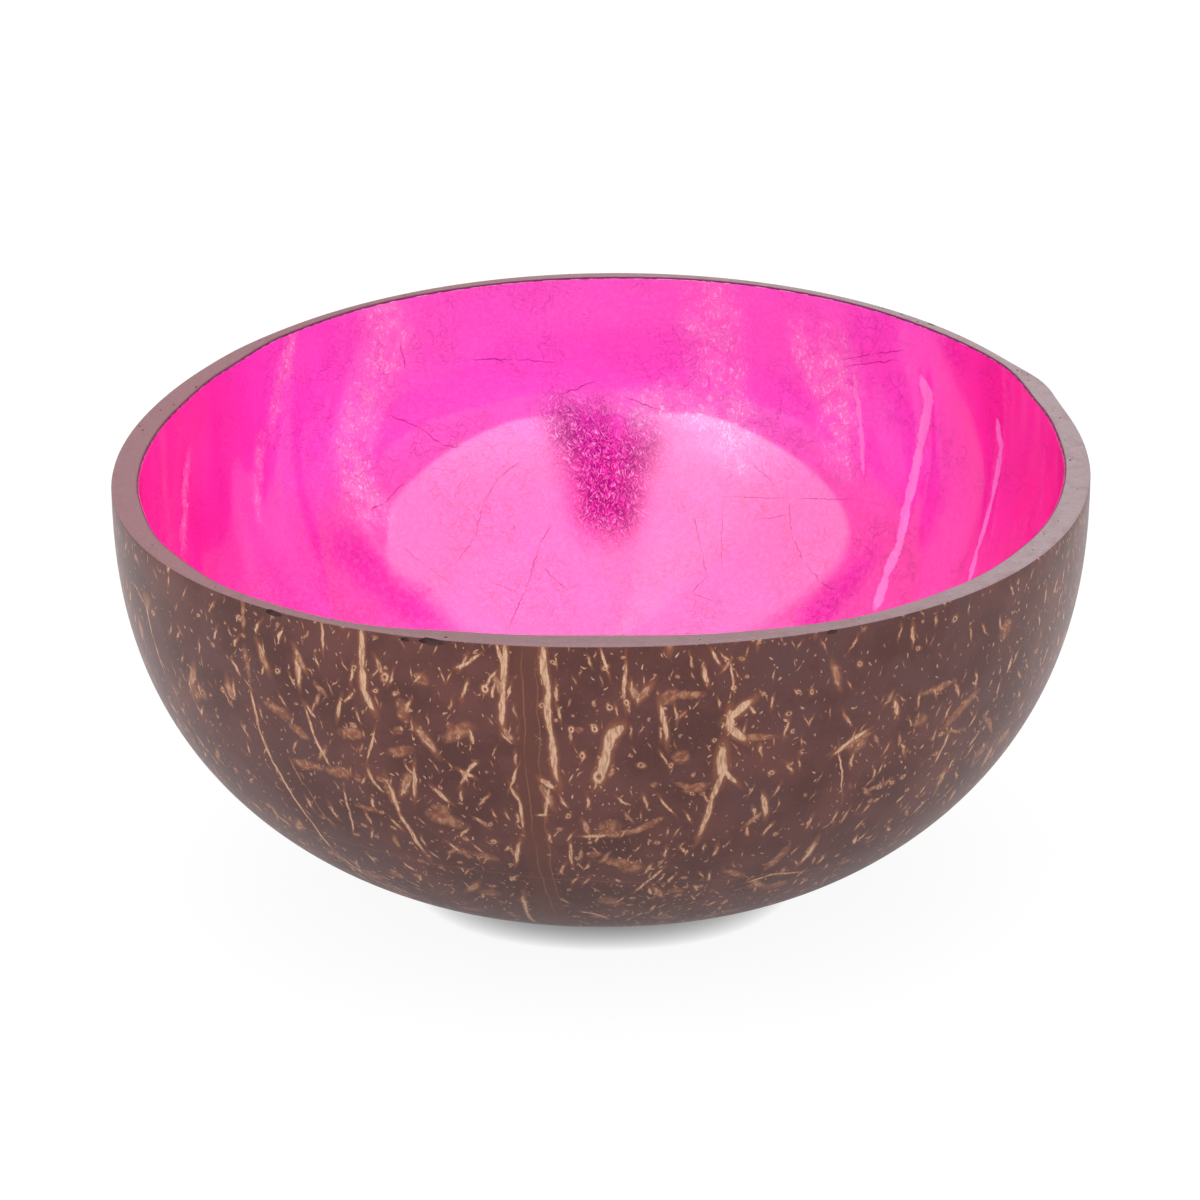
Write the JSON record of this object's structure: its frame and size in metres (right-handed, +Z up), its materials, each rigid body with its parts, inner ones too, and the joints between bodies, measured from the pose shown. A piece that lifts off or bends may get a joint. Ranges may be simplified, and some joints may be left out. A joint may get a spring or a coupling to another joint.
{
  "type": "coconut shell bowl",
  "caption": "Bowl made from half a coconut shell with a flat-cut rim, a small sanded foot and a pink lacquered metal-leaf lining.",
  "frame": {"origin": "centre of the flat sanded foot, on the surface that the bowl stands on", "axes": "+Z up through the open rim, -Y towards the side that the picture shows from the front"},
  "size_m": [0.1294, 0.1295, 0.0613],
  "materials": {
    "shell": "sanded and polished coconut shell, dark brown with tan fibre flecks",
    "ground": "dark crimson lacquer ground",
    "leaf": "crinkled metal leaf",
    "lacquer": "hot pink tinted gloss lacquer over metal leaf"
  },
  "bodies": {
    "root": {"coconut_shell": "shell", "ground_coat": "ground", "metal_leaf": "leaf", "lacquer_coat": "lacquer"}
  },
  "joints": []
}
